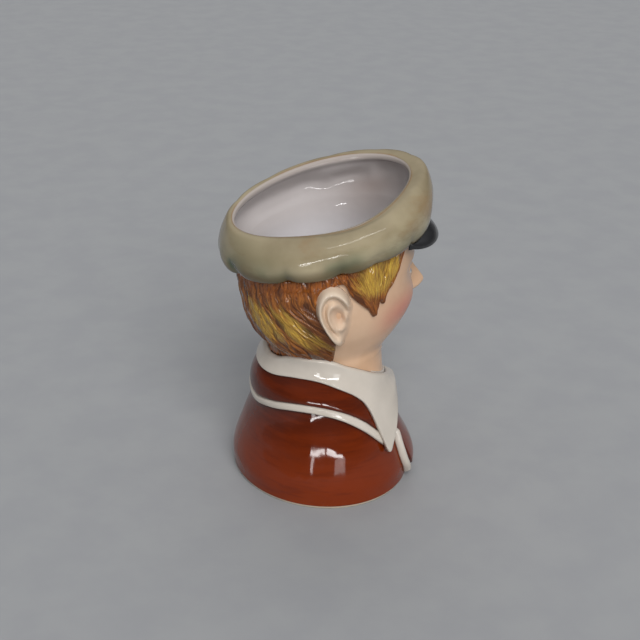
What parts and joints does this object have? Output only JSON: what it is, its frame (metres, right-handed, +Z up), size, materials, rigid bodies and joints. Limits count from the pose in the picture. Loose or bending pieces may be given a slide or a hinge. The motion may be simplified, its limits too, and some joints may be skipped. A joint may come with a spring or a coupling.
{
  "type": "character jug",
  "caption": "Glazed earthenware character jug: a hollow bust of a young person in a soft peaked cap, open at the top, with a loop handle at the left side.",
  "frame": {"origin": "middle of the foot rim, on the table", "axes": "+Z up, the face looks to -Y, the handle is on +X (the bust's left), the bust's right is -X"},
  "size_m": [0.1142, 0.0947, 0.1376],
  "materials": {
    "biscuit": "bare fired clay, slightly rough",
    "coat_glaze": "rust-brown brushed colour under clear gloss glaze",
    "cream_glaze": "cream under clear gloss glaze",
    "skin_glaze": "peach skin colour with soft pink cheeks under clear gloss glaze, pinkish white inside",
    "hair_glaze": "ginger brown with dark strokes and yellow streaks under clear gloss glaze",
    "cap_glaze": "khaki beige with green pooled in the folds under clear gloss glaze, pinkish white inside",
    "black_glaze": "gloss black"
  },
  "bodies": {
    "root": {"foot_ring": "biscuit", "coat_body": "coat_glaze", "coat_collar": "coat_glaze", "coat_piping": "cream_glaze", "lapel_right": "coat_glaze", "lapel_left": "coat_glaze", "lapel_piping_right": "cream_glaze", "lapel_piping_left": "cream_glaze", "shirt_front": "cream_glaze", "shirt_collar": "cream_glaze", "head": "skin_glaze", "ear_right": "skin_glaze", "ear_left": "skin_glaze", "hair_back": "hair_glaze", "hair_side_right": "hair_glaze", "hair_side_left": "hair_glaze", "cap": "cap_glaze", "cap_peak": "black_glaze", "handle": "coat_glaze"}
  },
  "joints": []
}
